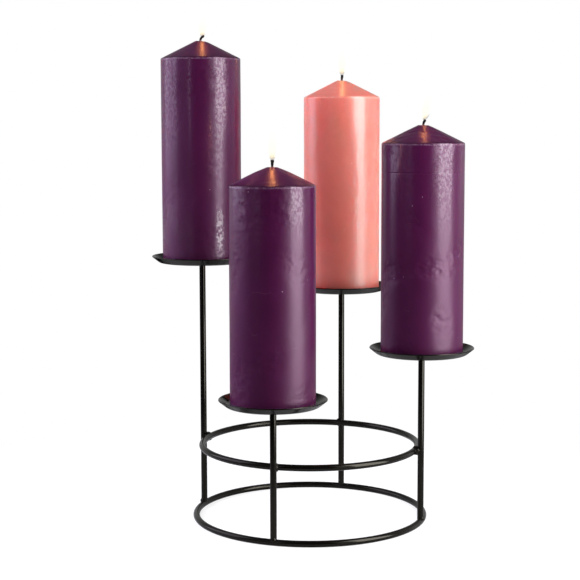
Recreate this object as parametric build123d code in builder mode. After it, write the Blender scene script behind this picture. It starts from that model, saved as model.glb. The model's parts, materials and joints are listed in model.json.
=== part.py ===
from build123d import *
import os
from collections import namedtuple
from math import cos, radians, sin, tan

# Tiered advent candle holder: a wire stand whose four saucers climb in a spiral, with its four
# pillar candles. Millimetres, +Z up, origin on the table under the middle of the rings.
# The lowest candle stands at -Y, and the tiers climb by way of +X and +Y to the highest at -X.

# Wire of the stand
rod_d = 6.0  # round steel rod of both rings and all four posts
base_ring_r = 109.0  # centreline radius of the ring that stands on the table
upper_ring_h = 70.3  # height of the upper ring's centreline above the table
foot_flat = 0.25  # depth of the flat ground under the base ring, on which the stand rests
post_cope = 1.0  # how deep a post's foot is hollowed to sit astride the base ring
ring_gap = 0.1  # room between the upper ring and a post, which the weld fills
ring_joint_bearing = 45.0  # where the ends of each ring's rod meet, away from the posts

# Height of each saucer's underside above the table
front_tray_h = 126.5
right_tray_h = 162.0
back_tray_h = 206.5
left_tray_h = 242.0

# Weld metal
foot_bead = 1.0  # how far the bead round a post's foot stands out past the rod
ring_bead = 1.4  # how far the lump at the upper ring stands out past the rod
tray_weld_leg = 1.4  # leg of the fillet between a post and its saucer

# Pillar candles, all four from one mould
candle_d = 76.2
candle_body_h = 194.0  # straight side, from the base to the shoulder
candle_cone_h = 16.8  # from the shoulder to the small flat on top
candle_top_d = 9.0  # the flat round the wick
candle_base_edge_r = 1.0
shoulder_edge_r = 0.8
candle_top_edge_r = 1.5

# Saucers, spun from sheet
candle_room = 0.5  # flat floor left round a candle
tray_sheet = 1.2
tray_bend_r = 7.0  # outside of the bend between the floor and the flare
tray_flare_angle = 38.0  # slope of the flare, in degrees
tray_rim_h = 6.0  # from the underside to the rim's outer edge
tray_edge_r = 0.4

# Spike in the middle of each saucer, and the hole that it makes in the wax
pricket_d = 4.0
pricket_shank_h = 13.0
pricket_tip_h = 7.0
pricket_point_d = 0.6
pricket_room = 0.3  # between the spike and the wax, all round
pricket_end_room = 1.5  # between the spike's point and the end of its hole

# Wicks of braided cotton
wick_d = 2.0
wick_room = 0.05  # between the wick and its bore in the wax
wick_foot_room = 2.0  # between the spike's hole and the wick's lower end
wick_out = 6.6  # length that stands out of the wax, along its curl
wick_end_r = 0.5

# How far each burnt wick curls over, in degrees from upright, and the bearing that it curls to
front_wick_curl = 4.0
right_wick_curl = 45.0
back_wick_curl = 12.0
left_wick_curl = 80.0
wick_curl_bearing = 18.0

# Worked out from the sizes above
rod_r = rod_d / 2
base_ring_h = rod_r - foot_flat
base_ring_crown = base_ring_h + rod_r
upper_ring_r = base_ring_r - rod_d - ring_gap
ring_weld_at = base_ring_r - rod_r - ring_gap / 2
post_foot_h = base_ring_crown - post_cope
tray_floor_r = candle_d / 2 + candle_room
tray_knee_r = tray_floor_r + tray_bend_r * tan(radians(tray_flare_angle / 2))
tray_rim_r = tray_knee_r + tray_rim_h / tan(radians(tray_flare_angle))
pricket_r = pricket_d / 2
pricket_h = pricket_shank_h + pricket_tip_h
pricket_hole_h = pricket_h + pricket_end_room
candle_r = candle_d / 2
candle_h = candle_body_h + candle_cone_h
wick_r = wick_d / 2
wick_foot_h = pricket_hole_h + wick_foot_room

# The tiers in climbing order, each on its bearing from +X in degrees
Tier = namedtuple("Tier", "name bearing tray_h wick_curl")
tiers = [
    Tier("front", -90, front_tray_h, front_wick_curl),
    Tier("right", 0, right_tray_h, right_wick_curl),
    Tier("back", 90, back_tray_h, back_wick_curl),
    Tier("left", 180, left_tray_h, left_wick_curl),
]


def outward(bearing):
    """The level direction that a bearing points in."""
    return Vector(cos(radians(bearing)), sin(radians(bearing)), 0)


def level_plane(tier, height, radius=base_ring_r):
    """A level plane on a tier's bearing, at a height above the table, with local x outwards."""
    way_out = outward(tier.bearing)
    return Plane(origin=way_out * radius + Vector(0, 0, height), x_dir=way_out)


def upright_plane(origin, bearing=0):
    """An upright plane through a point: local x is level, along a bearing, and local y is up."""
    return Plane(origin=origin, x_dir=outward(bearing), z_dir=outward(bearing - 90))


def upright_axis(origin):
    """The vertical line through a point."""
    return Axis(origin, (0, 0, 1))


def save(piece, name):
    """Label a finished piece and write it out."""
    piece.part.label = name
    export_step(piece.part, f"parts/{name}.step")


os.makedirs("parts", exist_ok=True)

# Base ring: rod bent to a hoop, with a narrow flat underneath
with BuildPart() as base_ring:
    with BuildSketch(upright_plane((0, 0, 0), ring_joint_bearing)):
        with Locations((base_ring_r, base_ring_h)):
            Circle(rod_r)
        with Locations((base_ring_r, -rod_r)):
            Rectangle(rod_d, rod_d, mode=Mode.SUBTRACT)
    revolve(axis=Axis.Z)
save(base_ring, "base_ring")

# Upper ring: a smaller hoop, held inside the four posts
with BuildPart() as upper_ring:
    with BuildSketch(upright_plane((0, 0, 0), ring_joint_bearing)):
        with Locations((upper_ring_r, upper_ring_h)):
            Circle(rod_r)
    revolve(axis=Axis.Z)
save(upper_ring, "upper_ring")

# Posts: straight rod from the base ring's crown to the underside of each saucer
posts = []
for tier in tiers:
    with BuildPart() as post:
        with BuildSketch(level_plane(tier, post_foot_h)):
            Circle(rod_r)
        extrude(amount=tier.tray_h - post_foot_h)
        add(base_ring.part, mode=Mode.SUBTRACT)
    save(post, f"post_{tier.name}")
    posts.append(post.part)

# Weld beads round the posts' feet
with BuildPart() as base_welds:
    with Locations(*[level_plane(tier, base_ring_crown) for tier in tiers]):
        Sphere(rod_r + foot_bead)
    add([base_ring.part] + posts, mode=Mode.SUBTRACT)
save(base_welds, "base_welds")

# Weld lumps between the upper ring and the posts
with BuildPart() as ring_welds:
    with Locations(*[level_plane(tier, upper_ring_h, ring_weld_at) for tier in tiers]):
        Sphere(rod_r + ring_bead)
    add([upper_ring.part] + posts, mode=Mode.SUBTRACT)
save(ring_welds, "ring_welds")

# Fillet welds under the saucers, hollow in section
with BuildPart() as tray_welds:
    for tier in tiers:
        seat = level_plane(tier, tier.tray_h).origin
        weld_toe_r = rod_r + tray_weld_leg
        with BuildSketch(upright_plane(seat)) as weld_section:
            with BuildLine():
                Polyline((rod_r, -tray_weld_leg), (rod_r, 0), (weld_toe_r, 0))
                RadiusArc((rod_r, -tray_weld_leg), (weld_toe_r, 0), tray_weld_leg)
            make_face()
        revolve(weld_section.sketch, axis=upright_axis(seat))
save(tray_welds, "tray_welds")

for tier in tiers:
    underside = level_plane(tier, tier.tray_h)
    floor = underside.offset(tray_sheet)

    # Saucer: flat floor, rounded bend and a straight flare with a softened rim
    with BuildPart() as tray:
        with BuildSketch(upright_plane(underside.origin)) as tray_section:
            with BuildLine():
                FilletPolyline(
                    (0, 0),
                    (tray_knee_r, 0),
                    (tray_rim_r, tray_rim_h),
                    radius=tray_bend_r,
                )
                offset(amount=tray_sheet, side=Side.LEFT)
            make_face()
            rim_corners = tray_section.vertices().sort_by(Axis.Y)[-2:]
            fillet(rim_corners, min(tray_edge_r, tray_sheet / 3))
        revolve(axis=upright_axis(underside.origin))
    save(tray, f"tray_{tier.name}")

    # Spike that the candle is pushed down onto
    with BuildPart() as pricket:
        with BuildSketch(upright_plane(floor.origin)):
            with BuildLine():
                Polyline(
                    (0, 0),
                    (pricket_r, 0),
                    (pricket_r, pricket_shank_h),
                    (pricket_point_d / 2, pricket_h),
                    (0, pricket_h),
                    close=True,
                )
            make_face()
        revolve(axis=upright_axis(floor.origin))
    save(pricket, f"pricket_{tier.name}")

    # Candle: moulded wax pillar with a low cone on top, its spike hole and the bore of its wick
    with BuildPart() as candle:
        with BuildSketch(upright_plane(floor.origin)):
            with BuildLine():
                FilletPolyline(
                    (0, 0),
                    (candle_r, 0),
                    (candle_r, candle_body_h),
                    (candle_top_d / 2, candle_h),
                    (0, candle_h),
                    radius=[candle_base_edge_r, shoulder_edge_r, candle_top_edge_r],
                )
                Line((0, candle_h), (0, 0))
            make_face()
        revolve(axis=upright_axis(floor.origin))
        with BuildSketch(floor):
            Circle(pricket_r + pricket_room)
        extrude(amount=pricket_hole_h, mode=Mode.SUBTRACT)
        with BuildSketch(floor):
            Circle(wick_r + wick_room)
        extrude(amount=candle_h, mode=Mode.SUBTRACT)
    save(candle, f"candle_{tier.name}")

    # Wick: straight in the wax, curled over where it is burnt
    with BuildPart() as wick:
        with BuildLine(upright_plane(floor.origin, wick_curl_bearing)):
            buried = Line((0, wick_foot_h), (0, candle_h))
            curl_r = wick_out / radians(tier.wick_curl)
            JernArc(buried @ 1, buried % 1, curl_r, -tier.wick_curl)
        with BuildSketch(floor.offset(wick_foot_h)):
            Circle(wick_r)
        sweep()
        burnt_end = wick.faces().sort_by(Axis.Z)[-1]
        fillet(burnt_end.edges(), min(wick_end_r, wick_d / 3))
    save(wick, f"wick_{tier.name}")
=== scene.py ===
import json
import math
from collections import namedtuple

import bmesh
import bpy
from bpy.props import FloatProperty, FloatVectorProperty, PointerProperty
from mathutils import Matrix, Quaternion, Vector, noise

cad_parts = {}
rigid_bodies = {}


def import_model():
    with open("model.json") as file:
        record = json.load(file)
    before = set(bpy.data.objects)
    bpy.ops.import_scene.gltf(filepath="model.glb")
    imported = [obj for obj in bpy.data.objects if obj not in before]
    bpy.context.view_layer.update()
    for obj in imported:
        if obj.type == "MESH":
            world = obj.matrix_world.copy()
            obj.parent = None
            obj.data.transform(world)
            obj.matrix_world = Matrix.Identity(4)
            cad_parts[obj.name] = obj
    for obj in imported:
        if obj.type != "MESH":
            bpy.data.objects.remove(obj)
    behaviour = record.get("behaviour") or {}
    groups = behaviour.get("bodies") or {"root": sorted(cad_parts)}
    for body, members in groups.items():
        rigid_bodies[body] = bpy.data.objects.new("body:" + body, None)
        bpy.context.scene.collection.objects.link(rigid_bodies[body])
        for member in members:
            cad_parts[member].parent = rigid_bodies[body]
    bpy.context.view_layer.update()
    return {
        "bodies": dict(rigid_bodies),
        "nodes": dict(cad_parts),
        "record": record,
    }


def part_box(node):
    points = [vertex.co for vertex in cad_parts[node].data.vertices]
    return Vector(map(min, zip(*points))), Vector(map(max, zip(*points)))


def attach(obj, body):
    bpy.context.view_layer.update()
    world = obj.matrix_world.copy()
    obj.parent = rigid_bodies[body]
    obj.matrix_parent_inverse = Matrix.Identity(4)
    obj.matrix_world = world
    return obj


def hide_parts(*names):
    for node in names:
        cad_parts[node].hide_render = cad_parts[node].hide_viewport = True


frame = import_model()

bl_info = {
    "name": "Advent Candle Holder",
    "version": (1, 0, 0),
    "blender": (4, 5, 0),
    "location": "3D View > Sidebar > Candle Holder",
    "description": "Dresses a tiered wire stand with four lit pillar candles, and sets its studio",
    "category": "Object",
}

UP = Vector((0, 0, 1))
WHITE = (1, 1, 1)
BLACK = (0, 0, 0)


def level_way(bearing):
    """The level direction on a bearing, in degrees from +X."""
    angle = math.radians(bearing)
    return Vector((math.cos(angle), math.sin(angle), 0))


# The four tiers in climbing order. Lengths in metres, angles in degrees.
# wax: material slot of the candle's wax
# sink: how much lower the wax round the wick has burnt than on a new candle
# melt_drop: how much lower the wax has melted on the side that the wick curls to
# wick_reach, wick_curl: length of the burnt wick, and how far it bends over from upright
# tip_swell: how thick the wick's tip is, as a share of the wick
# flame_rise, flame_lean: the flame's height, and how far its tip leans over
# glow: how strongly the flame shows in the wax below it
# gloss_reach: how far down from the shoulder the glossy flecks go
# dents: how strongly the wall is dented
# foot_gloss: how far up from the base glossy flecks go, or 0 for none there
# seam: how far below the shoulder the mould has left a line, or 0 for none
Tier = namedtuple("Tier", (
    "name wax sink melt_drop wick_reach wick_curl tip_swell "
    "flame_rise flame_lean glow gloss_reach dents foot_gloss seam"
), defaults=(0, 0))
TIERS = (
    Tier(
        "front", "purple_wax", sink=0.0012, melt_drop=0.0002,
        wick_reach=0.0066, wick_curl=4, tip_swell=1.45, flame_rise=0.032, flame_lean=0.0, glow=1.5,
        gloss_reach=0.060, dents=0.55,
    ),
    Tier(
        "right", "purple_wax", sink=0.0004, melt_drop=0.0004,
        wick_reach=0.0054, wick_curl=45, tip_swell=1.15, flame_rise=0.030, flame_lean=0.006, glow=0.55,
        gloss_reach=0.110, dents=1.0, seam=0.0265,
    ),
    Tier(
        "back", "rose_wax", sink=0.0, melt_drop=0.0010,
        wick_reach=0.0056, wick_curl=12, tip_swell=1.25, flame_rise=0.033, flame_lean=0.0, glow=0.95,
        gloss_reach=0.090, dents=0.5,
    ),
    Tier(
        "left", "purple_wax", sink=0.0, melt_drop=0.0012,
        wick_reach=0.0066, wick_curl=80, tip_swell=1.00, flame_rise=0.022, flame_lean=0.001, glow=0.62,
        gloss_reach=0.180, dents=0.4, foot_gloss=0.060,
    ),
)

# The bearing that all the wicks curl to, and the way there
CURL_BEARING = 18
CURL_WAY = level_way(CURL_BEARING)

WELD_NODES = ("base_welds", "ring_welds")
PAINTED_NODES = [
    name
    for name in frame["record"]["behaviour"]["bodies"]["stand"]
    if name not in WELD_NODES
]

# How finely the meshes are divided: points round them, steps along them, and cuts of a weld bead
CANDLE_SIDES = 144
WICK_SIDES = 24
WICK_STEPS = 36
FLAME_SIDES = 32
FLAME_STEPS = 24
ARC_STEPS = 6
BEAD_CUTS = 4

# Keeps the noise that frays the wicks the same on every run
FRAY_SEED = 7

# Edges that turn by more than this are left sharp
SHARP_EDGE = math.radians(40)

# Longest steps along a candle's outline, and how near its shoulder they are fine
FINE_STEP = 0.0005
CONE_STEP = 0.0018
WALL_STEP = 0.0035
BASE_STEP = 0.006
HOLE_STEP = 0.008
BORE_STEP = 0.1
BRINK = 0.004

# Roundings of a candle's edges
TOP_ROUNDING = 0.0015
SHOULDER_ROUNDING = 0.0016
BASE_ROUNDING = 0.001

# What a candle's mesh tells its wax at each point, among them where shade is painted into the crease at
# the foot of the cone, and worn edges that also carry a painted highlight line just below the shoulder
WAX_LAYERS = ("up_wall", "glossy_band", "groove", "wear", "dented")

# The panels of light round the object, each on a bearing in degrees from +X. Lengths in metres.
# power: the studio property that holds its power
# cool: whether it has the tint of the lamps on the left
# mirrored: whether reflections show it
Softbox = namedtuple(
    "Softbox", "name power bearing distance height width tall cool mirrored", defaults=(False, True)
)
SOFTBOXES = (
    Softbox("key_softbox", "key_power", -12, 0.72, 0.55, 0.47, 1.2),
    Softbox("wing_panel", "wing_power", -36, 1.1, 0.7, 0.42, 1.7),
    Softbox("back_wing", "back_wing_power", 30, 1.0, 0.6, 0.75, 1.2),
    Softbox("side_panel", "side_power", 192, 1.5, 1.1, 1.26, 1.8, cool=True),
    Softbox("side_wing", "side_wing_power", 236, 1.0, 0.8, 0.85, 1.4, cool=True),
    Softbox("side_strip", "strip_power", 253, 1.0, 0.78, 0.1, 0.85, cool=True),
    Softbox("side_fill", "fill_power", 185, 0.9, 0.5, 1.0, 1.0, cool=True, mirrored=False),
)


# Properties

def length(name, description, default):
    """A property that holds a length in metres."""
    return FloatProperty(
        name=name, description=description, default=default, min=0, precision=5, unit="LENGTH"
    )


def share(name, description, default):
    """A property that holds a share of a whole."""
    return FloatProperty(
        name=name, description=description, default=default, min=0, max=1, subtype="FACTOR"
    )


def power(name, description, default):
    """A property that holds a lamp's power in watts."""
    return FloatProperty(
        name=name, description=description, default=default, min=0, precision=4, unit="POWER"
    )


def colour(name, description, default):
    """A property that holds a linear colour."""
    return FloatVectorProperty(
        name=name, description=description, default=default, min=0, max=1, subtype="COLOR"
    )


def place(name, description, default):
    """A property that holds a point in metres."""
    return FloatVectorProperty(
        name=name, description=description, default=default, subtype="TRANSLATION", unit="LENGTH"
    )


class StandFinish(bpy.types.PropertyGroup):
    """Paint and welds of the wire stand"""

    paint: colour("Paint", "Black paint of the iron", (0.0034, 0.0031, 0.0025))
    glint: colour("Glint", "Tint of what the paint mirrors", (1.0, 0.94, 0.80))
    shine: share("Shine", "How strongly the paint mirrors", 0.31)
    smoothest: share("Smoothest", "Roughness of the smoothest paint", 0.12)
    roughest: share("Roughest", "Roughness of the roughest paint", 0.18)
    dust_colour: colour("Dust colour", "Dust that settles on the paint", (0.030, 0.027, 0.022))
    dust: share("Dust", "How thickly dust lies on what faces up", 0.35)
    specks: share("Specks", "How strongly specks of dust show", 0.5)
    scratches: share("Scratches", "Depth of the scratches, as a share of the dimples", 0.25)
    peel_size: length("Peel size", "Width of the dimples in the paint", 0.0011)
    peel_depth: length("Peel depth", "Depth of the dimples in the paint", 0.000011)
    bead_lump: length("Bead lump", "How far the weld beads bulge and dip", 0.0007)


class CandleLook(bpy.types.PropertyGroup):
    """Shape of the pillar candles"""

    shoulder: length("Shoulder height", "From the base to the foot of the cone", 0.194)
    top_radius: length("Top radius", "The melted flat round the wick", 0.0045)
    spike_hole_radius: length("Spike hole radius", "Hole in the base for the spike", 0.0023)
    spike_hole_depth: length("Spike hole depth", "How deep the spike's hole is", 0.0215)
    wick_bore: length("Wick bore", "Radius of the wick's hole in the wax", 0.00105)
    seam_depth: length("Seam depth", "Depth of the line that the mould has left", 0.00016)
    wobble: length("Wobble", "How far the wall bulges and dips", 0.00012)
    chip_depth: length("Chip depth", "Depth of the nicks along the edges", 0.0007)


class PurpleWax(bpy.types.PropertyGroup):
    """Purple wax"""

    deep: colour("Deep tone", "Its darker tone", (0.0478, 0.0025, 0.0320))
    light: colour("Light tone", "Its lighter tone", (0.0620, 0.0042, 0.0421))
    frost: colour("Frost", "Frost and scuffs on it", (0.36, 0.25, 0.33))
    glint: colour("Glint", "Tint of what it mirrors", (1.0, 0.74, 0.94))
    shine: share("Shine", "How strongly it mirrors", 0.50)
    scatter: share("Scatter", "How much light wanders in it", 0.1)
    depth: length("Depth", "How far light wanders in it", 0.001)
    # Strength of the shade painted into the crease at the foot of the cone
    crease: share("Crease", "How dark the crease at the shoulder is", 0.5)
    # Strength of the shade painted at the base as a deeper, redder tone
    base_shade: share("Steep", "How much deeper the tone is at the base", 0.0)


class RoseWax(bpy.types.PropertyGroup):
    """Rose wax"""

    deep: colour("Deep tone", "Its darker tone", (0.572, 0.186, 0.151))
    light: colour("Light tone", "Its lighter tone", (0.622, 0.222, 0.183))
    frost: colour("Frost", "Frost and scuffs on it", (0.80, 0.50, 0.44))
    glint: colour("Glint", "Tint of what it mirrors", (0.7, 1.0, 0.97))
    shine: share("Shine", "How strongly it mirrors", 0.90)
    scatter: share("Scatter", "How much light wanders in it", 1.0)
    depth: length("Depth", "How far light wanders in it", 0.080)
    # Strength of the shade painted into the crease at the foot of the cone
    crease: share("Crease", "How dark the crease at the shoulder is", 0.0)
    # Strength of the shade painted at the base as a deeper, redder tone
    base_shade: share("Steep", "How much deeper the tone is at the base", 0.8)


class WickLook(bpy.types.PropertyGroup):
    """Braided cotton wicks, burnt at the top"""

    foot: length("Foot height", "From the candle's base to the wick's lower end", 0.0235)
    radius: length("Radius", "Radius of the wick in the wax", 0.001)
    braid_pitch: length("Braid pitch", "Length of one crossing of the strands", 0.0024)
    char: colour("Char", "Burnt cotton", (0.004, 0.004, 0.0045))
    cotton: colour("Cotton", "Waxed cotton at the foot of the burnt part", (0.20, 0.13, 0.12))


class FlameLook(bpy.types.PropertyGroup):
    """Small candle flames"""

    mantle_radius: length("Mantle radius", "Widest part of the bright outer flame", 0.0040)
    core_radius: length("Core radius", "Widest part of the dim zone over the wick", 0.0028)
    mantle: colour("Mantle", "Light of the outer flame", (1.0, 0.71, 0.34))
    core: colour("Core", "Light of the dim zone", (0.027, 0.046, 0.063))
    glow: colour("Glow", "Light that the flame throws on the wax", (1.0, 0.40, 0.12))
    glow_power: power("Glow power", "Power of each of a flame's lamps", 0.0030)
    halo: colour("Halo", "Dim light round the flame", (1.0, 0.22, 0.05))
    halo_power: power("Halo power", "Power of the dim light round a flame", 0.003)


class StudioLook(bpy.types.PropertyGroup):
    """Camera, lamps and floor"""

    camera_place: place("Camera", "Where the camera stands", (0.4081, -1.3085, 0.3716))
    camera_aim: place("Aim", "Point that the camera looks at", (-0.0177, -0.0058, 0.2184))
    camera_lens: FloatProperty(
        name="Lens", description="Focal length", default=90.2, unit="CAMERA"
    )
    camera_roll: FloatProperty(
        name="Roll", description="Tilt of the camera", default=math.radians(-0.13), unit="ROTATION"
    )
    key_power: power("Key power", "Softbox on the right", 12.8)
    wing_power: power("Wing power", "Dimmer panel beside the softbox", 1.7)
    back_wing_power: power("Back wing power", "Dimmer panel behind the softbox", 1.1)
    side_power: power("Side power", "Panel on the left", 13.6)
    side_wing_power: power("Side wing power", "Dimmer panel beside the left one", 0.95)
    strip_power: power("Strip power", "Narrow panel left of the camera", 0.34)
    fill_power: power("Fill power", "Matt light on the left", 17.0)
    side_tint: colour("Side tint", "Cool light of the lamps on the left", (0.84, 0.82, 1.0))
    sky: share("Sky", "Soft light from above", 0.36)
    ambient: share("Ambient", "Soft light from the sides and below", 0.30)
    backdrop_shine: share("Backdrop shine", "Backdrop as seen in reflections", 0.42)
    floor_tone: share("Floor tone", "Brightness of the floor's own surface", 0.3)
    floor_lift: share("Floor lift", "White that the camera sees over the floor's own surface", 0.75)
    floor_shine: share("Floor shine", "How much of that white reflections show", 0.15)
    floor_radius: length("Floor radius", "Radius of the floor", 0.5)


# Node trees

# Sockets of a Mix node that blends colours, which share their names with others
MIX_FACTOR, MIX_FIRST, MIX_SECOND, MIX_RESULT = 0, 6, 7, 2

# Middle of the values that a noise texture gives
MIDDLE = 0.5


def plug(tree, value, socket):
    """Link a socket to an input, or set the input's value."""
    if isinstance(value, bpy.types.NodeSocket):
        tree.links.new(value, socket)
    elif socket.type == "RGBA":
        socket.default_value = (*value, 1)
    else:
        socket.default_value = value


def feed(tree, made, **inputs):
    """Give each named input of a node a value, or a link from a socket."""
    for name, value in inputs.items():
        plug(tree, value, made.inputs[name.replace("_", " ")])
    return made


def node(tree, kind, settings=None, **inputs):
    """Add a node with its settings and inputs."""
    made = tree.nodes.new(kind)
    for key, value in (settings or {}).items():
        setattr(made, key, value)
    return feed(tree, made, **inputs)


def maths(tree, operation, *values, clamp=True):
    """A Math node's result, kept between 0 and 1 where it is clamped."""
    made = node(tree, "ShaderNodeMath", {"operation": operation, "use_clamp": clamp})
    for value, socket in zip(values, made.inputs):
        plug(tree, value, socket)
    return made.outputs[0]


def times(tree, product, *factors):
    """A product, kept between 0 and 1 at each step."""
    for factor in factors:
        product = maths(tree, "MULTIPLY", product, factor)
    return product


def spread(tree, value, low, high, to_low=0.0, to_high=1.0):
    """Map low..high to to_low..to_high, eased at both ends and held beyond them."""
    made = node(
        tree, "ShaderNodeMapRange", {"interpolation_type": "SMOOTHSTEP"},
        Value=value, From_Min=low, From_Max=high, To_Min=to_low, To_Max=to_high,
    )
    return made.outputs["Result"]


def blend(tree, factor, first, second):
    """A colour between two colours."""
    made = node(tree, "ShaderNodeMix", {"data_type": "RGBA"})
    plug(tree, factor, made.inputs[MIX_FACTOR])
    plug(tree, first, made.inputs[MIX_FIRST])
    plug(tree, second, made.inputs[MIX_SECOND])
    return made.outputs[MIX_RESULT]


def mix_shaders(tree, factor, first, second):
    """A shader between two shaders."""
    made = node(tree, "ShaderNodeMixShader", Fac=factor)
    tree.links.new(first.outputs[0], made.inputs[1])
    tree.links.new(second.outputs[0], made.inputs[2])
    return made


def up_part(tree, vector):
    """How far a direction points up."""
    return node(tree, "ShaderNodeSeparateXYZ", Vector=vector).outputs["Z"]


def per_metre(tree, size):
    """The scale of a texture whose features are this wide."""
    return maths(tree, "DIVIDE", 1, size, clamp=False)


def uneven(tree, vector, size, **inputs):
    """The value of a noise texture whose features are this wide."""
    made = node(tree, "ShaderNodeTexNoise", Vector=vector, Scale=per_metre(tree, size), **inputs)
    return made.outputs["Fac"]


def effect_group(name, inputs, output):
    """An empty node group that takes a place on the surface and named values, and gives one value."""
    group = bpy.data.node_groups.new(name, "ShaderNodeTree")
    group.interface.new_socket("Vector", in_out="INPUT", socket_type="NodeSocketVector")
    for label, default in inputs.items():
        socket = group.interface.new_socket(label, in_out="INPUT", socket_type="NodeSocketFloat")
        socket.default_value = default
    group.interface.new_socket(output, in_out="OUTPUT", socket_type="NodeSocketFloat")
    entry = group.nodes.new("NodeGroupInput")
    leave = group.nodes.new("NodeGroupOutput")
    return group, entry.outputs, leave.inputs[0]


def mottle_group():
    """Soft clouds of a given size."""
    group, given, result = effect_group("Mottle", {"Size": 0.03, "Contrast": 0.5}, "Mask")
    clouds = uneven(group, given["Vector"], given["Size"], Detail=4.0, Roughness=0.55)
    half = times(group, maths(group, "SUBTRACT", 1.0, given["Contrast"]), 0.5)
    low = maths(group, "SUBTRACT", MIDDLE, half)
    high = maths(group, "ADD", MIDDLE, half)
    group.links.new(spread(group, clouds, low, high), result)
    return group


def speck_group():
    """Tiny dots: one in some of the cells, scattered a given spacing apart."""
    group, given, result = effect_group(
        "Specks", {"Spacing": 0.006, "Dot": 0.1, "Share": 0.3}, "Mask"
    )
    cells = node(
        group, "ShaderNodeTexVoronoi",
        Vector=given["Vector"], Scale=per_metre(group, given["Spacing"]),
    )
    dots = maths(group, "LESS_THAN", cells.outputs["Distance"], given["Dot"])
    draw = node(group, "ShaderNodeSeparateColor", Color=cells.outputs["Color"])
    chosen = maths(group, "LESS_THAN", draw.outputs["Red"], given["Share"])
    group.links.new(times(group, dots, chosen), result)
    return group


def scratch_group():
    """Hair lines that wander over the surface, in patches."""
    group, given, result = effect_group("Scratches", {"Size": 0.02, "Width": 0.006}, "Mask")
    winding = uneven(group, given["Vector"], given["Size"], Detail=1.0, Distortion=0.6)
    lines = maths(group, "COMPARE", winding, MIDDLE, given["Width"])
    patches = uneven(group, given["Vector"], given["Size"], Detail=2.0)
    kept = spread(group, patches, low=0.52, high=0.62)
    group.links.new(times(group, lines, kept), result)
    return group


def dent_group():
    """Shallow smooth hollows of a given size, in patches of another."""
    group, given, result = effect_group("Dents", {"Size": 0.01, "Patch": 0.05}, "Depth")
    hollows = uneven(group, given["Vector"], given["Size"], Detail=1.0, Roughness=0.4)
    patches = uneven(group, given["Vector"], given["Patch"], Detail=0.0)
    kept = spread(group, patches, low=0.46, high=0.66)
    group.links.new(times(group, hollows, kept), result)
    return group


def grain_group():
    """A fine uneven height, with a finer one on it."""
    group, given, result = effect_group("Grain", {"Size": 0.002}, "Height")
    group.links.new(uneven(group, given["Vector"], given["Size"], Detail=3.0, Roughness=0.6), result)
    return group


EFFECTS = {
    "Mottle": mottle_group,
    "Specks": speck_group,
    "Scratches": scratch_group,
    "Dents": dent_group,
    "Grain": grain_group,
}


def effect(tree, name, vector, **inputs):
    """Place one of the shared effects in a material, and give its output."""
    shared = bpy.data.node_groups.get(name) or EFFECTS[name]()
    placed = node(tree, "ShaderNodeGroup", {"node_tree": shared}, Vector=vector, **inputs)
    return placed.outputs[0]


def new_material(name):
    """A material with an empty Principled shader, and the place on the surface to texture it by."""
    material = bpy.data.materials.new(name)
    material.use_nodes = True
    tree = material.node_tree
    shader = tree.nodes["Principled BSDF"]
    where = node(tree, "ShaderNodeTexCoord").outputs["Object"]
    return material, tree, shader, where


def empty_tree(owner):
    """The node tree of a world or material, with nothing in it."""
    owner.use_nodes = True
    owner.node_tree.nodes.clear()
    return owner.node_tree


def stretched(tree, vector, upwards):
    """The place on the surface, with its height squeezed or drawn out."""
    return node(tree, "ShaderNodeMapping", Vector=vector, Scale=(1, 1, upwards)).outputs["Vector"]


def attribute(tree, name):
    """A value kept at the mesh's points."""
    return node(tree, "ShaderNodeAttribute", {"attribute_name": name}).outputs["Fac"]


def emboss(tree, height, depth, **under):
    """A normal bumped by a height of a given depth in metres, over another Normal if one is given."""
    bump = node(tree, "ShaderNodeBump", Height=height, Distance=depth, Strength=1.0, **under)
    return bump.outputs["Normal"]


# Materials

def iron_material(finish):
    """Satin black paint on iron, dimpled, with a little dust on what faces up."""
    material, tree, shader, where = new_material("black_iron_paint")
    facing = node(tree, "ShaderNodeNewGeometry").outputs["Normal"]
    upward = spread(tree, up_part(tree, facing), low=0.75, high=1.0)
    clouds = effect(tree, "Mottle", where, Size=0.014, Contrast=0.45)
    dust = times(tree, upward, clouds, finish.dust)
    specks = effect(tree, "Specks", where, Spacing=0.007, Dot=0.05, Share=0.25)
    soiled = maths(tree, "ADD", dust, times(tree, specks, finish.specks))
    peel = effect(tree, "Grain", where, Size=finish.peel_size)
    scratches = effect(tree, "Scratches", where, Size=0.03, Width=0.004)
    height = maths(tree, "SUBTRACT", peel, times(tree, scratches, finish.scratches))
    feed(
        tree, shader,
        Base_Color=blend(tree, soiled, finish.paint, finish.dust_colour),
        Roughness=spread(tree, clouds, 0.0, 1.0, to_low=finish.smoothest, to_high=finish.roughest),
        Specular_IOR_Level=finish.shine,
        Specular_Tint=finish.glint,
        Normal=emboss(tree, height, finish.peel_depth),
    )
    return material


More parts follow.
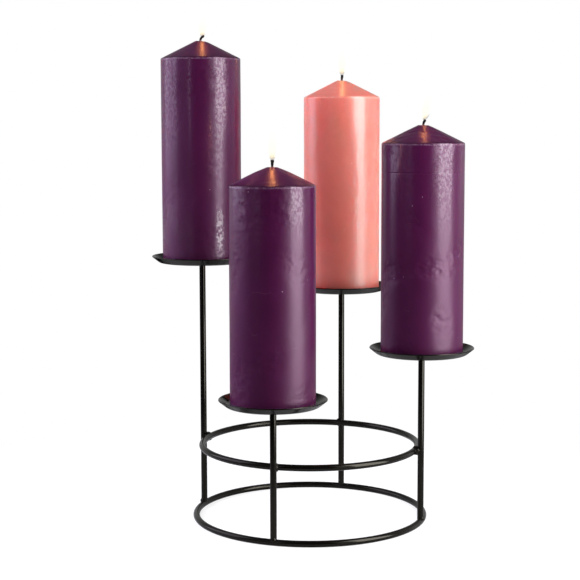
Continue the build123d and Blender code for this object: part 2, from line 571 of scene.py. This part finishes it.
def wax_tone(tree, where, wax, up_wall, groove, wear):
    """Colour of moulded wax: clouded, with marks and pale scuffed edges. Along the shoulder those edges
    also paint a highlight line, and shade is painted as a dark crease at the foot of the cone and as a
    deeper tone at the base.
    """
    crease_shade_dim, base_shade_dim, base_shade_reach = 0.25, 0.4, 0.10
    scuff_and_highlight_strength, scratch_strength = 0.30, 0.10
    clouds = effect(tree, "Mottle", where, Size=0.035, Contrast=0.35)
    specks = effect(tree, "Specks", where, Spacing=0.009, Dot=0.045, Share=0.22)
    scratches = effect(tree, "Scratches", where, Size=0.028, Width=0.0025)
    # Pale worn edges at the base are real wear; along the shoulder the same pale tone paints a highlight
    # line where the rim catches the light
    scuff_and_highlight_grain = effect(tree, "Mottle", where, Size=0.0022, Contrast=0.7)
    scuffs_and_rim_highlight = times(tree, wear, spread(tree, scuff_and_highlight_grain, low=0.2, high=0.8, to_low=0.25))
    # Painted shade for the crease at the foot of the cone: the deep tone, darkened
    crease_shade_tone = [part * crease_shade_dim for part in wax.deep]
    # Painted shade for the base: the deep tone with less green and blue
    base_shade_tone = (wax.deep[0], wax.deep[1] * base_shade_dim, wax.deep[2] * base_shade_dim)
    tone = blend(tree, clouds, wax.deep, wax.light)
    # Painted shade: the crease at the foot of the cone is darkened
    tone = blend(tree, times(tree, groove, wax.crease), tone, crease_shade_tone)
    # Painted shade: a deeper, redder tone towards the base
    base_shade_share = spread(tree, up_wall, 0.0, base_shade_reach, to_low=wax.base_shade, to_high=0.0)
    tone = blend(tree, base_shade_share, tone, base_shade_tone)
    tone = blend(tree, times(tree, scuffs_and_rim_highlight, scuff_and_highlight_strength), tone, wax.frost)
    marks = maths(tree, "MAXIMUM", specks, times(tree, scratches, scratch_strength))
    return blend(tree, marks, tone, wax.frost)


def wax_material(name, wax):
    """Moulded wax: duller towards the base, with glossy flecks, fine grain and shallow dents."""
    fleck_gloss, grain_polish = 0.56, 0.02
    grain_depth, dent_depth = 0.000035, 0.0013
    material, tree, shader, where = new_material(name)
    up_wall, glossy_band, groove, wear, dented = [attribute(tree, layer) for layer in WAX_LAYERS]
    grain = effect(tree, "Grain", where, Size=0.0035)
    flecks = effect(tree, "Mottle", stretched(tree, where, 0.7), Size=0.0020, Contrast=0.82)
    dents = times(
        tree, effect(tree, "Dents", stretched(tree, where, 1.25), Size=0.008, Patch=0.045), dented
    )
    dull = spread(tree, up_wall, 0.0, 1.0, to_low=0.42, to_high=0.305)
    skin = emboss(tree, grain, grain_depth)
    feed(
        tree, shader,
        Base_Color=wax_tone(tree, where, wax, up_wall, groove, wear),
        Roughness=maths(tree, "SUBTRACT", dull, times(tree, grain, grain_polish)),
        Coat_Weight=times(tree, flecks, fleck_gloss, glossy_band),
        Coat_Roughness=0.14,
        Coat_IOR=1.6,
        Specular_IOR_Level=wax.shine,
        Specular_Tint=wax.glint,
        Subsurface_Weight=wax.scatter,
        Subsurface_Radius=(1.0, 0.15, 0.1),
        Subsurface_Scale=wax.depth,
        Normal=emboss(tree, maths(tree, "SUBTRACT", 1.0, dents), dent_depth, Normal=skin),
    )
    return material


def wick_material(look):
    """Burnt cotton: black char over a short pale foot."""
    ash_strength, crumb_depth = 0.08, 0.00015
    material, tree, shader, where = new_material("burnt_wick")
    burn = spread(tree, attribute(tree, "burn"), low=0.02, high=0.22)
    crust = effect(tree, "Mottle", where, Size=0.0012, Contrast=0.5)
    crumbs = effect(tree, "Grain", where, Size=0.0005)
    ash = blend(tree, times(tree, crust, ash_strength), look.char, look.cotton)
    feed(
        tree, shader,
        Base_Color=blend(tree, burn, look.cotton, ash),
        Roughness=spread(tree, crust, 0.0, 1.0, to_low=0.8),
        Specular_IOR_Level=0.1,
        Normal=emboss(tree, crumbs, crumb_depth),
    )
    return material


def flame_material(look):
    """A pale flame: it fades in over the wick, and out towards its edges and its tip."""
    material, tree, shader, where = new_material("candle_flame")
    rise = attribute(tree, "rise")
    core = attribute(tree, "core")
    flicker = effect(tree, "Mottle", where, Size=0.006, Contrast=0.2)
    facing = node(tree, "ShaderNodeLayerWeight", Blend=0.5).outputs["Facing"]
    body = times(
        tree,
        spread(tree, rise, low=0.0, high=0.12),
        spread(tree, rise, low=0.05, high=0.85, to_low=1.0, to_high=0.0),
        spread(tree, facing, low=0.05, high=0.8, to_low=1.0, to_high=0.0),
        spread(tree, flicker, 0.0, 1.0, to_low=0.92),
        spread(tree, core, 0.0, 1.0, to_low=0.20, to_high=0.38),
    )
    feed(
        tree, shader,
        Base_Color=BLACK,
        Specular_IOR_Level=0.0,
        Alpha=body,
        Emission_Color=blend(tree, core, look.mantle, look.core),
        Emission_Strength=2.2,
    )
    return material


# Meshes

def ring_of(bm, centre, across, up, radius, count):
    """Points round a centre, in the plane of two directions. The radius may depend on the angle."""
    points = []
    for i in range(count):
        angle = math.tau * i / count
        reach = radius(angle) if callable(radius) else radius
        points.append(bm.verts.new(centre + (across * math.cos(angle) + up * math.sin(angle)) * reach))
    return points


def skin_rings(bm, rings, closed=False):
    """Join neighbouring rings with quads. A closed skin joins the last ring to the first, too."""
    pairs = list(zip(rings, rings[1:]))
    if closed:
        pairs.append((rings[-1], rings[0]))
    for lower, upper in pairs:
        for i, corner in enumerate(lower):
            j = (i + 1) % len(lower)
            bm.faces.new((corner, lower[j], upper[j], upper[i]))


def cap_ring(bm, ring, tip):
    """Close a ring with a fan of triangles to a point."""
    point = bm.verts.new(tip)
    for i, corner in enumerate(ring):
        bm.faces.new((corner, ring[(i + 1) % len(ring)], point))
    return point


def add_object(bm, name, material):
    """Make a mesh into an object with one material."""
    mesh = bpy.data.meshes.new(name)
    bm.to_mesh(mesh)
    bm.free()
    mesh.materials.append(material)
    thing = bpy.data.objects.new(name, mesh)
    bpy.context.scene.collection.objects.link(thing)
    return thing


def add_piece(bm, name, body, slot, material, *replaced):
    """Make a mesh into a piece that rides on a body and stands for the named nodes."""
    bmesh.ops.recalc_face_normals(bm, faces=bm.faces)
    for face in bm.faces:
        face.smooth = True
    piece = add_object(bm, name, material)
    piece.data.set_sharp_from_angle(angle=SHARP_EDGE)
    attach(piece, body)
    if replaced:
        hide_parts(*replaced)
    return piece


def hide_from(thing, *rays):
    """Keep an object from rays of these kinds."""
    for kind in rays:
        setattr(thing, f"visible_{kind}", False)


# An outline's corner: radius and height, how far it is rounded, and the longest step after it
Corner = namedtuple("Corner", "r z rounding step")


def rounded_outline(corners):
    """A closed outline through corners, with arcs at the rounded ones and steps along the runs."""
    arcs = []
    for i, corner in enumerate(corners):
        here = Vector((corner.r, corner.z))
        back = (Vector(corners[i - 1][:2]) - here).normalized()
        ahead = (Vector(corners[(i + 1) % len(corners)][:2]) - here).normalized()
        if not corner.rounding:
            arcs.append([here])
            continue
        half = back.angle(ahead) / 2
        middle = here + (back + ahead).normalized() * corner.rounding / math.sin(half)
        start = here + back * corner.rounding / math.tan(half) - middle
        end = here + ahead * corner.rounding / math.tan(half) - middle
        turn = start.angle_signed(end)
        arcs.append([
            middle + Matrix.Rotation(-turn * s / ARC_STEPS, 2) @ start for s in range(ARC_STEPS + 1)
        ])
    outline = []
    for i, arc in enumerate(arcs):
        outline += arc
        gap = arcs[(i + 1) % len(arcs)][0] - arc[-1]
        steps = max(1, math.ceil(gap.length / corners[i].step))
        outline += [arc[-1] + gap * s / steps for s in range(1, steps)]
    return outline


def nearness(distance, reach):
    """1 at no distance, easing to 0 at the reach."""
    share_left = max(0.0, 1 - abs(distance) / reach)
    return share_left * share_left * (3 - 2 * share_left)


def nicked(spot, scale, start):
    """How deep a spot is nicked, where the noise at a scale per metre goes past a start."""
    return max(0.0, noise.noise(spot * scale) - start)


def candle_form(tier):
    """The middle of a candle's base, its radius and its height."""
    lo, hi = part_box(f"candle_{tier.name}")
    foot = Vector(((lo.x + hi.x) / 2, (lo.y + hi.y) / 2, lo.z))
    return foot, (hi.x - lo.x) / 2, hi.z - lo.z


def wax_top(tier):
    """The middle of a candle's burnt top, where its wick comes out."""
    foot, _, height = candle_form(tier)
    return foot + UP * (height - tier.sink)


def candle_outline(tier, look, radius, height):
    """Half of a candle's section, with fine steps where its wall is marked."""
    slope = (height - look.shoulder) / (radius - look.top_radius)
    seam = look.shoulder - tier.seam
    seam_corners = [
        Corner(radius, seam + 2 * FINE_STEP, 0, FINE_STEP),
        Corner(radius, seam - 2 * FINE_STEP, 0, WALL_STEP),
    ]
    return rounded_outline([
        Corner(look.wick_bore, height, 0, FINE_STEP),
        Corner(look.top_radius, height, TOP_ROUNDING, CONE_STEP),
        Corner(radius - BRINK, look.shoulder + BRINK * slope, 0, FINE_STEP),
        Corner(radius, look.shoulder, SHOULDER_ROUNDING, FINE_STEP),
        Corner(radius, look.shoulder - BRINK, 0, WALL_STEP),
        *(seam_corners if tier.seam else []),
        Corner(radius, 0, BASE_ROUNDING, BASE_STEP),
        Corner(look.spike_hole_radius, 0, 0, HOLE_STEP),
        Corner(look.spike_hole_radius, look.spike_hole_depth, 0, HOLE_STEP),
        Corner(look.wick_bore, look.spike_hole_depth, 0, BORE_STEP),
    ])


def glossiness(tier, look, z):
    """How glossy a candle's wall is at a height: flecked below the shoulder, and on some at the foot."""
    foot_shine, foot_spread = 1.7, 0.6
    gloss = nearness(z - look.shoulder, tier.gloss_reach)
    if tier.foot_gloss:
        at_foot = nearness(z - tier.foot_gloss / 2, tier.foot_gloss * foot_spread)
        gloss = max(gloss, foot_shine * at_foot)
    return gloss


def candle_mesh(tier, look):
    """A candle turned from its outline, with an uneven wall, nicked edges and a melted top."""
    bulge_scale, ripple_scale, ripple_part = 24, 150, 6
    chip_scale, chip_start = 210, 0.12
    crumb_scale, crumb_start = 260, 0.05
    rim_drop, rim_high, rim_wide = 0.001, 0.0012, 0.004
    base_high, base_wide = 0.004, 0.003
    crease_shade_rise, crease_shade_wide = 0.0006, 0.0016
    seam_wide, wall_from = 1.5 * FINE_STEP, 0.99
    foot, radius, height = candle_form(tier)
    seam = look.shoulder - tier.seam
    bm = bmesh.new()
    layers = [bm.verts.layers.float.new(name) for name in WAX_LAYERS]
    rings = []
    for r, z in candle_outline(tier, look, radius, height):
        ring = []
        inside = r <= look.spike_hole_radius and z < look.shoulder
        below = look.shoulder - rim_drop
        # Near the shoulder: nicks in the shape, and pale wax that paints a highlight line along the rim
        rim = 0 if inside else nearness(z - below, rim_high) * nearness(radius - r, rim_wide)
        base = 0 if inside else nearness(z, base_high) * nearness(radius - r, base_wide)
        line = look.seam_depth * nearness(z - seam, seam_wide) if tier.seam else 0
        marks = (
            min(1, z / look.shoulder),
            glossiness(tier, look, z) if r > radius * wall_from else 0,
            # Where shade is painted into the crease at the foot of the cone
            nearness(z - look.shoulder - crease_shade_rise, crease_shade_wide),
            # Worn pale wax at the bottom edge, and a painted highlight line just below the shoulder
            max(rim, base),
            tier.dents,
        )
        for i in range(CANDLE_SIDES):
            angle = math.tau * i / CANDLE_SIDES
            way = Vector((math.cos(angle), math.sin(angle), 0))
            spot = foot + way * r + UP * z
            if not inside:
                bulge = noise.noise(spot * bulge_scale) * look.wobble
                ripple = noise.noise(spot * ripple_scale) * look.wobble / ripple_part
                chips = nicked(spot, chip_scale, chip_start) * look.chip_depth * rim
                crumbs = nicked(spot, crumb_scale, crumb_start) * look.chip_depth * base
                outwards = (bulge + ripple) * min(1, r / radius) - chips - crumbs - line
                spot += way * outwards - UP * chips
            if z > look.shoulder:
                spot += UP * melted(look, tier, r, way.dot(CURL_WAY))
            vert = bm.verts.new(spot)
            for layer, value in zip(layers, marks):
                vert[layer] = value
            ring.append(vert)
        rings.append(ring)
    skin_rings(bm, rings, closed=True)
    return bm


def melted(look, tier, r, towards_curl):
    """How far the flame has lowered the wax at a radius: a dish round the wick, and a low side."""
    dish_depth, low_reach = 0.0007, 0.009
    across = (r - look.wick_bore) / (look.top_radius - look.wick_bore)
    dish = math.sin(math.pi * across) * dish_depth if 0 < across < 1 else 0
    low_side = tier.melt_drop * (0.5 + 0.5 * towards_curl) * nearness(r, low_reach)
    return -dish - low_side - tier.sink * nearness(r, 2 * low_reach)


def along_curl(tier, turned):
    """Where a curled wick has got to after turning by an angle, from the top of the wax."""
    bend = tier.wick_reach / math.radians(tier.wick_curl)
    return CURL_WAY * bend * (1 - math.cos(turned)) + UP * bend * math.sin(turned)


def wick_tip(tier):
    """Where a curled wick ends, from the top of the wax."""
    return along_curl(tier, math.radians(tier.wick_curl))


def wick_mesh(tier, look):
    """A braided wick: straight in the wax, then curled over and swollen or thinned to its tip."""
    neck, swelling, tip_rounding, blunt_tip = 0.9, 1.5, 0.0009, 0.02
    braid_girth, strand_girth = 1.16, 0.08
    fray_scale, fray = 900, 0.12
    foot, _, height = candle_form(tier)
    top = wax_top(tier)
    side = UP.cross(CURL_WAY)
    noise.seed_set(FRAY_SEED)
    bm = bmesh.new()
    burn = bm.verts.layers.float.new("burn")
    buried = [foot + UP * look.foot, foot + UP * height / 2, top - UP * tier.wick_reach / 2]
    rings = [ring_of(bm, spot, CURL_WAY, side, look.radius, WICK_SIDES) for spot in buried]
    for s in range(WICK_STEPS + 1):
        burnt = s / WICK_STEPS
        along = tier.wick_reach * burnt
        turned = math.radians(tier.wick_curl) * burnt
        spot = top + along_curl(tier, turned)
        across = CURL_WAY * math.cos(turned) - UP * math.sin(turned)
        swell = neck + (tier.tip_swell - neck) * burnt ** swelling
        from_tip = min(1, (tier.wick_reach - along) / tip_rounding)
        end = math.sqrt(max(blunt_tip, 1 - (1 - from_tip) ** 2))

        def braided(angle, along=along, girth=look.radius * swell * end):
            lay = math.tau * along / look.braid_pitch
            strands = max(math.cos(2 * angle + lay), math.cos(2 * angle - lay + math.pi / 2))
            return girth * (braid_girth + strand_girth * strands)

        ring = ring_of(bm, spot, across, side, braided, WICK_SIDES)
        for vert in ring:
            vert.co += noise.noise_vector(vert.co * fray_scale) * look.radius * fray
            vert[burn] = burnt
        rings.append(ring)
    skin_rings(bm, rings)
    cap_ring(bm, rings[0], buried[0])
    cap_ring(bm, rings[-1], spot)[burn] = 1
    return bm


def flame_mesh(tier, look):
    """Two nested tongues of flame over the wick: the outer mantle, and the dim core near the wick."""
    over_curl, up_wick, core_share, lean_bend = 0.45, 0.8, 0.3, 1.5
    thin, taper = 0.55, 0.8
    widest = thin / (thin + taper)
    full = widest ** thin * (1 - widest) ** taper
    tip = wick_tip(tier)
    start = wax_top(tier) + CURL_WAY * tip.dot(CURL_WAY) * over_curl + UP * tip.z * up_wick
    lean = CURL_WAY * tier.flame_lean
    bm = bmesh.new()
    rise = bm.verts.layers.float.new("rise")
    core = bm.verts.layers.float.new("core")
    shells = (
        (look.mantle_radius, tier.flame_rise, 0.0),
        (look.core_radius, tier.flame_rise * core_share, 1.0),
    )
    for width, tall, is_core in shells:
        rings = []
        for s in range(1, FLAME_STEPS):
            up = s / FLAME_STEPS
            swell = width * up ** thin * (1 - up) ** taper / full
            spot = start + UP * tall * up + lean * up ** lean_bend
            rings.append(ring_of(bm, spot, Vector((1, 0, 0)), Vector((0, 1, 0)), swell, FLAME_SIDES))
            for vert in rings[-1]:
                vert[rise] = up
                vert[core] = is_core
        skin_rings(bm, rings)
        bottom = cap_ring(bm, rings[0], start)
        end = cap_ring(bm, rings[-1], start + UP * tall + lean)
        bottom[core] = is_core
        end[core] = is_core
        end[rise] = 1
    return bm


def weld_centre(tier, far_corner, radius, height):
    """The middle of a tier's weld bead, on its post's bearing."""
    lo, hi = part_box(f"post_{tier.name}")
    post = Vector(((lo.x + hi.x) / 2, (lo.y + hi.y) / 2, 0))
    reach = far_corner.x - radius
    return post.normalized() * reach + UP * height


def weld_mesh(node_name, finish):
    """Four lumpy weld beads, one at each post, in the place of a node's own beads."""
    lump_scale, ripple_scale, ripple_share = 330, 800, 0.5
    lo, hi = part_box(node_name)
    height = (lo.z + hi.z) / 2
    radius = (hi.z - lo.z) / 2
    bm = bmesh.new()
    for tier in TIERS:
        centre = weld_centre(tier, hi, radius, height)
        made = bmesh.ops.create_icosphere(bm, subdivisions=BEAD_CUTS, radius=radius)
        for vert in made["verts"]:
            spot = centre + vert.co
            lumps = noise.noise(spot * lump_scale) + ripple_share * noise.noise(spot * ripple_scale)
            vert.co = centre + vert.co * (1 + lumps * finish.bead_lump / radius)
    return bm


# Studio

def aim(thing, at, roll=0.0):
    """Turn a camera or lamp to look at a point."""
    thing.rotation_mode = "QUATERNION"
    look_round = (Vector(at) - thing.location).to_track_quat("-Z", "Y")
    thing.rotation_quaternion = look_round @ Quaternion((0, 0, 1), roll)


def add_lamp(name, kind, energy, spot, tint):
    """A lamp that the camera doesn't see."""
    lamp = bpy.data.lights.new(name, kind)
    lamp.energy = energy
    lamp.color = tint
    holder = bpy.data.objects.new(name, lamp)
    holder.location = spot
    hide_from(holder, "camera")
    bpy.context.scene.collection.objects.link(holder)
    return holder


def add_softbox(box, look):
    """A soft panel of light on its bearing, facing the object."""
    tint = look.side_tint if box.cool else WHITE
    spot = level_way(box.bearing) * box.distance + UP * box.height
    panel = add_lamp(box.name, "AREA", getattr(look, box.power), spot, tint)
    panel.data.shape = "RECTANGLE"
    panel.data.size = box.width
    panel.data.size_y = box.tall
    aim(panel, UP * box.height)
    if not box.mirrored:
        hide_from(panel, "glossy")


def add_glow(tier, look, body):
    """Warm lamps up the middle of a flame, which light the wax and mirror in it, in a wider dim one."""
    lamps, lamp_size, halo_size = 6, 0.0024, 0.009
    lowest, brightening = 0.35, 1.5
    up_wick, lean_share = 0.6, 0.3
    start = wax_top(tier) + wick_tip(tier) * up_wick
    leaning = UP * tier.flame_rise + CURL_WAY * tier.flame_lean * lean_share
    for i in range(lamps):
        up = i / (lamps - 1)
        energy = look.glow_power * tier.glow * (lowest + (1 - lowest) * up ** brightening)
        lamp = add_lamp(f"glow_{tier.name}_{i}", "POINT", energy, start + leaning * up, look.glow)
        lamp.data.shadow_soft_size = lamp_size
        lamp.parent = body
    halo = add_lamp(f"halo_{tier.name}", "POINT", look.halo_power, start + leaning / 2, look.halo)
    halo.data.shadow_soft_size = halo_size
    halo.parent = body


def shown_rays(tree, shine=1.0):
    """1 for rays that show the background, from the camera or through glass, and a share off gloss."""
    path = node(tree, "ShaderNodeLightPath").outputs
    seen = maths(tree, "MAXIMUM", path["Is Camera Ray"], times(tree, path["Is Glossy Ray"], shine))
    return maths(tree, "MAXIMUM", seen, path["Is Transmission Ray"])


def set_world(look):
    """A white background over a plain even light."""
    world = bpy.data.worlds.new("studio")
    tree = empty_tree(world)
    towards = node(tree, "ShaderNodeTexCoord").outputs["Generated"]
    light = spread(
        tree, up_part(tree, towards), low=-0.1, high=0.8, to_low=look.ambient, to_high=look.sky
    )
    even = node(tree, "ShaderNodeBackground", Color=WHITE, Strength=light)
    white = node(tree, "ShaderNodeBackground", Color=WHITE, Strength=1.0)
    shown = mix_shaders(tree, shown_rays(tree), even, white)
    node(tree, "ShaderNodeOutputWorld", {"is_active_output": True}, Surface=shown.outputs[0])
    bpy.context.scene.world = world


def stage_mesh(name, bm, material):
    """A part of the studio."""
    thing = add_object(bm, name, material)
    return thing


def floor_material(look):
    """A pale floor that keeps the shadow near the object and fades to white at its rim."""
    fade_start, fade_end = 0.45, 0.95
    material = bpy.data.materials.new("pale_floor")
    tree = empty_tree(material)
    where = node(tree, "ShaderNodeTexCoord").outputs["Object"]
    from_middle = node(tree, "ShaderNodeVectorMath", {"operation": "LENGTH"}, Vector=where)
    rim = spread(
        tree, from_middle.outputs["Value"], look.floor_radius * fade_start, look.floor_radius * fade_end
    )
    seen = shown_rays(tree, look.floor_shine)
    paper = node(tree, "ShaderNodeBsdfDiffuse", Color=(look.floor_tone,) * 3)
    lift = node(tree, "ShaderNodeEmission", Color=WHITE, Strength=times(tree, seen, look.floor_lift))
    lit = node(tree, "ShaderNodeAddShader")
    tree.links.new(paper.outputs[0], lit.inputs[0])
    tree.links.new(lift.outputs[0], lit.inputs[1])
    white = node(tree, "ShaderNodeEmission", Color=WHITE, Strength=seen)
    faded = mix_shaders(tree, rim, lit, white)
    node(tree, "ShaderNodeOutputMaterial", Surface=faded.outputs[0])
    return material


def tent_material(look):
    """What the studio shows in reflections: a grey backdrop behind the object, dark elsewhere."""
    material = bpy.data.materials.new("dark_studio")
    tree = empty_tree(material)
    where = node(tree, "ShaderNodeTexCoord").outputs["Object"]
    unit = node(tree, "ShaderNodeVectorMath", {"operation": "NORMALIZE"}, Vector=where)
    towards = unit.outputs["Vector"]
    behind = Vector(look.camera_aim) - Vector(look.camera_place)
    behind.z = 0
    depth = node(tree, "ShaderNodeVectorMath", {"operation": "DOT_PRODUCT"})
    plug(tree, towards, depth.inputs[0])
    plug(tree, behind.normalized(), depth.inputs[1])
    height = up_part(tree, towards)
    shine = times(
        tree,
        spread(tree, depth.outputs["Value"], low=0.1, high=0.6),
        spread(tree, height, low=0.2, high=0.5, to_low=1.0, to_high=0.38),
        spread(tree, height, low=-0.3, high=-0.16),
        look.backdrop_shine,
    )
    glow = node(tree, "ShaderNodeEmission", Color=WHITE, Strength=shine)
    node(tree, "ShaderNodeOutputMaterial", Surface=glow.outputs[0])
    material.cycles.emission_sampling = "NONE"
    return material


def add_tent(look):
    """A shell round the studio that only reflections show."""
    middle_height = 0.25
    bm = bmesh.new()
    bmesh.ops.create_uvsphere(bm, u_segments=48, v_segments=24, radius=4.0)
    tent = stage_mesh("studio_tent", bm, tent_material(look))
    tent.location = UP * middle_height
    hide_from(tent, "camera", "diffuse", "transmission", "volume_scatter", "shadow")


def add_floor(look):
    """A round floor under the object."""
    bm = bmesh.new()
    bmesh.ops.create_circle(bm, cap_ends=True, segments=96, radius=look.floor_radius)
    stage_mesh("floor", bm, floor_material(look))


def add_camera(look):
    """The camera, at the photograph's viewpoint."""
    lens = bpy.data.cameras.new("camera")
    lens.lens = look.camera_lens
    camera = bpy.data.objects.new("camera", lens)
    camera.location = look.camera_place
    aim(camera, look.camera_aim, look.camera_roll)
    bpy.context.scene.collection.objects.link(camera)
    bpy.context.scene.camera = camera


# Operators

class HOLDER_OT_paint_stand(bpy.types.Operator):
    """Give the rings, posts, saucers and spikes their black paint"""

    bl_idname = "holder.paint_stand"
    bl_label = "Paint the stand"

    def execute(self, context):
        paint = iron_material(context.scene.holder_stand)
        for name in PAINTED_NODES:
            mesh = frame["nodes"][name].data
            mesh.materials.clear()
            mesh.materials.append(paint)
        return {"FINISHED"}


class HOLDER_OT_lay_welds(bpy.types.Operator):
    """Lay the weld beads at the posts' feet and at the upper ring"""

    bl_idname = "holder.lay_welds"
    bl_label = "Lay the welds"

    def execute(self, context):
        finish = context.scene.holder_stand
        paint = bpy.data.materials["black_iron_paint"]
        for name in WELD_NODES:
            add_piece(weld_mesh(name, finish), f"{name}_beads", "stand", "black_iron", paint, name)
        return {"FINISHED"}


class HOLDER_OT_pour_candles(bpy.types.Operator):
    """Make the four wax pillars"""

    bl_idname = "holder.pour_candles"
    bl_label = "Pour the candles"

    def execute(self, context):
        look = context.scene.holder_candles
        waxes = {
            "purple_wax": wax_material("purple_candle_wax", context.scene.holder_purple),
            "rose_wax": wax_material("rose_candle_wax", context.scene.holder_rose),
        }
        for tier in TIERS:
            add_piece(
                candle_mesh(tier, look), f"wax_pillar_{tier.name}", f"{tier.name}_candle",
                tier.wax, waxes[tier.wax], f"candle_{tier.name}",
            )
        return {"FINISHED"}


class HOLDER_OT_braid_wicks(bpy.types.Operator):
    """Braid the four burnt wicks"""

    bl_idname = "holder.braid_wicks"
    bl_label = "Braid the wicks"

    def execute(self, context):
        look = context.scene.holder_wicks
        cotton = wick_material(look)
        for tier in TIERS:
            add_piece(
                wick_mesh(tier, look), f"burnt_wick_{tier.name}", f"{tier.name}_candle",
                "wick", cotton, f"wick_{tier.name}",
            )
        return {"FINISHED"}


class HOLDER_OT_light_flames(bpy.types.Operator):
    """Light the four candles"""

    bl_idname = "holder.light_flames"
    bl_label = "Light the flames"

    def execute(self, context):
        look = context.scene.holder_flames
        fire = flame_material(look)
        for tier in TIERS:
            body = f"{tier.name}_candle"
            flame = add_piece(flame_mesh(tier, look), f"flame_{tier.name}", body, "", fire)
            hide_from(flame, "shadow", "glossy", "diffuse")
            add_glow(tier, look, frame["bodies"][body])
        return {"FINISHED"}


class HOLDER_OT_set_stage(bpy.types.Operator):
    """Set the floor, backdrop, lamps and camera"""

    bl_idname = "holder.set_stage"
    bl_label = "Set the stage"

    def execute(self, context):
        look = context.scene.holder_studio
        context.scene.view_settings.view_transform = "Standard"
        set_world(look)
        add_floor(look)
        add_tent(look)
        for box in SOFTBOXES:
            add_softbox(box, look)
        add_camera(look)
        return {"FINISHED"}


OPERATORS = (
    HOLDER_OT_paint_stand,
    HOLDER_OT_lay_welds,
    HOLDER_OT_pour_candles,
    HOLDER_OT_braid_wicks,
    HOLDER_OT_light_flames,
    HOLDER_OT_set_stage,
)

PROPERTIES = {
    "holder_stand": StandFinish,
    "holder_candles": CandleLook,
    "holder_purple": PurpleWax,
    "holder_rose": RoseWax,
    "holder_wicks": WickLook,
    "holder_flames": FlameLook,
    "holder_studio": StudioLook,
}


class HOLDER_PT_panel(bpy.types.Panel):
    """The holder's pieces and their looks"""

    bl_idname = "HOLDER_PT_panel"
    bl_label = "Candle Holder"
    bl_space_type = "VIEW_3D"
    bl_region_type = "UI"
    bl_category = "Candle Holder"

    def draw(self, context):
        layout = self.layout
        for operator in OPERATORS:
            layout.operator(operator.bl_idname)
        for name, group in PROPERTIES.items():
            box = layout.box()
            box.label(text=group.__doc__)
            for key in group.__annotations__:
                box.prop(getattr(context.scene, name), key)


CLASSES = (*PROPERTIES.values(), *OPERATORS, HOLDER_PT_panel)


def register():
    """Add the classes to Blender, and their properties to its scenes."""
    for cls in CLASSES:
        bpy.utils.register_class(cls)
    for name, group in PROPERTIES.items():
        setattr(bpy.types.Scene, name, PointerProperty(type=group))


def unregister():
    """Take away what register adds, in reverse."""
    for name in reversed(PROPERTIES):
        delattr(bpy.types.Scene, name)
    for cls in reversed(CLASSES):
        bpy.utils.unregister_class(cls)


def main():
    """Dress the stand, light the candles and set the studio."""
    register()
    bpy.ops.holder.paint_stand()
    bpy.ops.holder.lay_welds()
    bpy.ops.holder.pour_candles()
    bpy.ops.holder.braid_wicks()
    bpy.ops.holder.light_flames()
    bpy.ops.holder.set_stage()


if __name__ == "__main__":
    main()
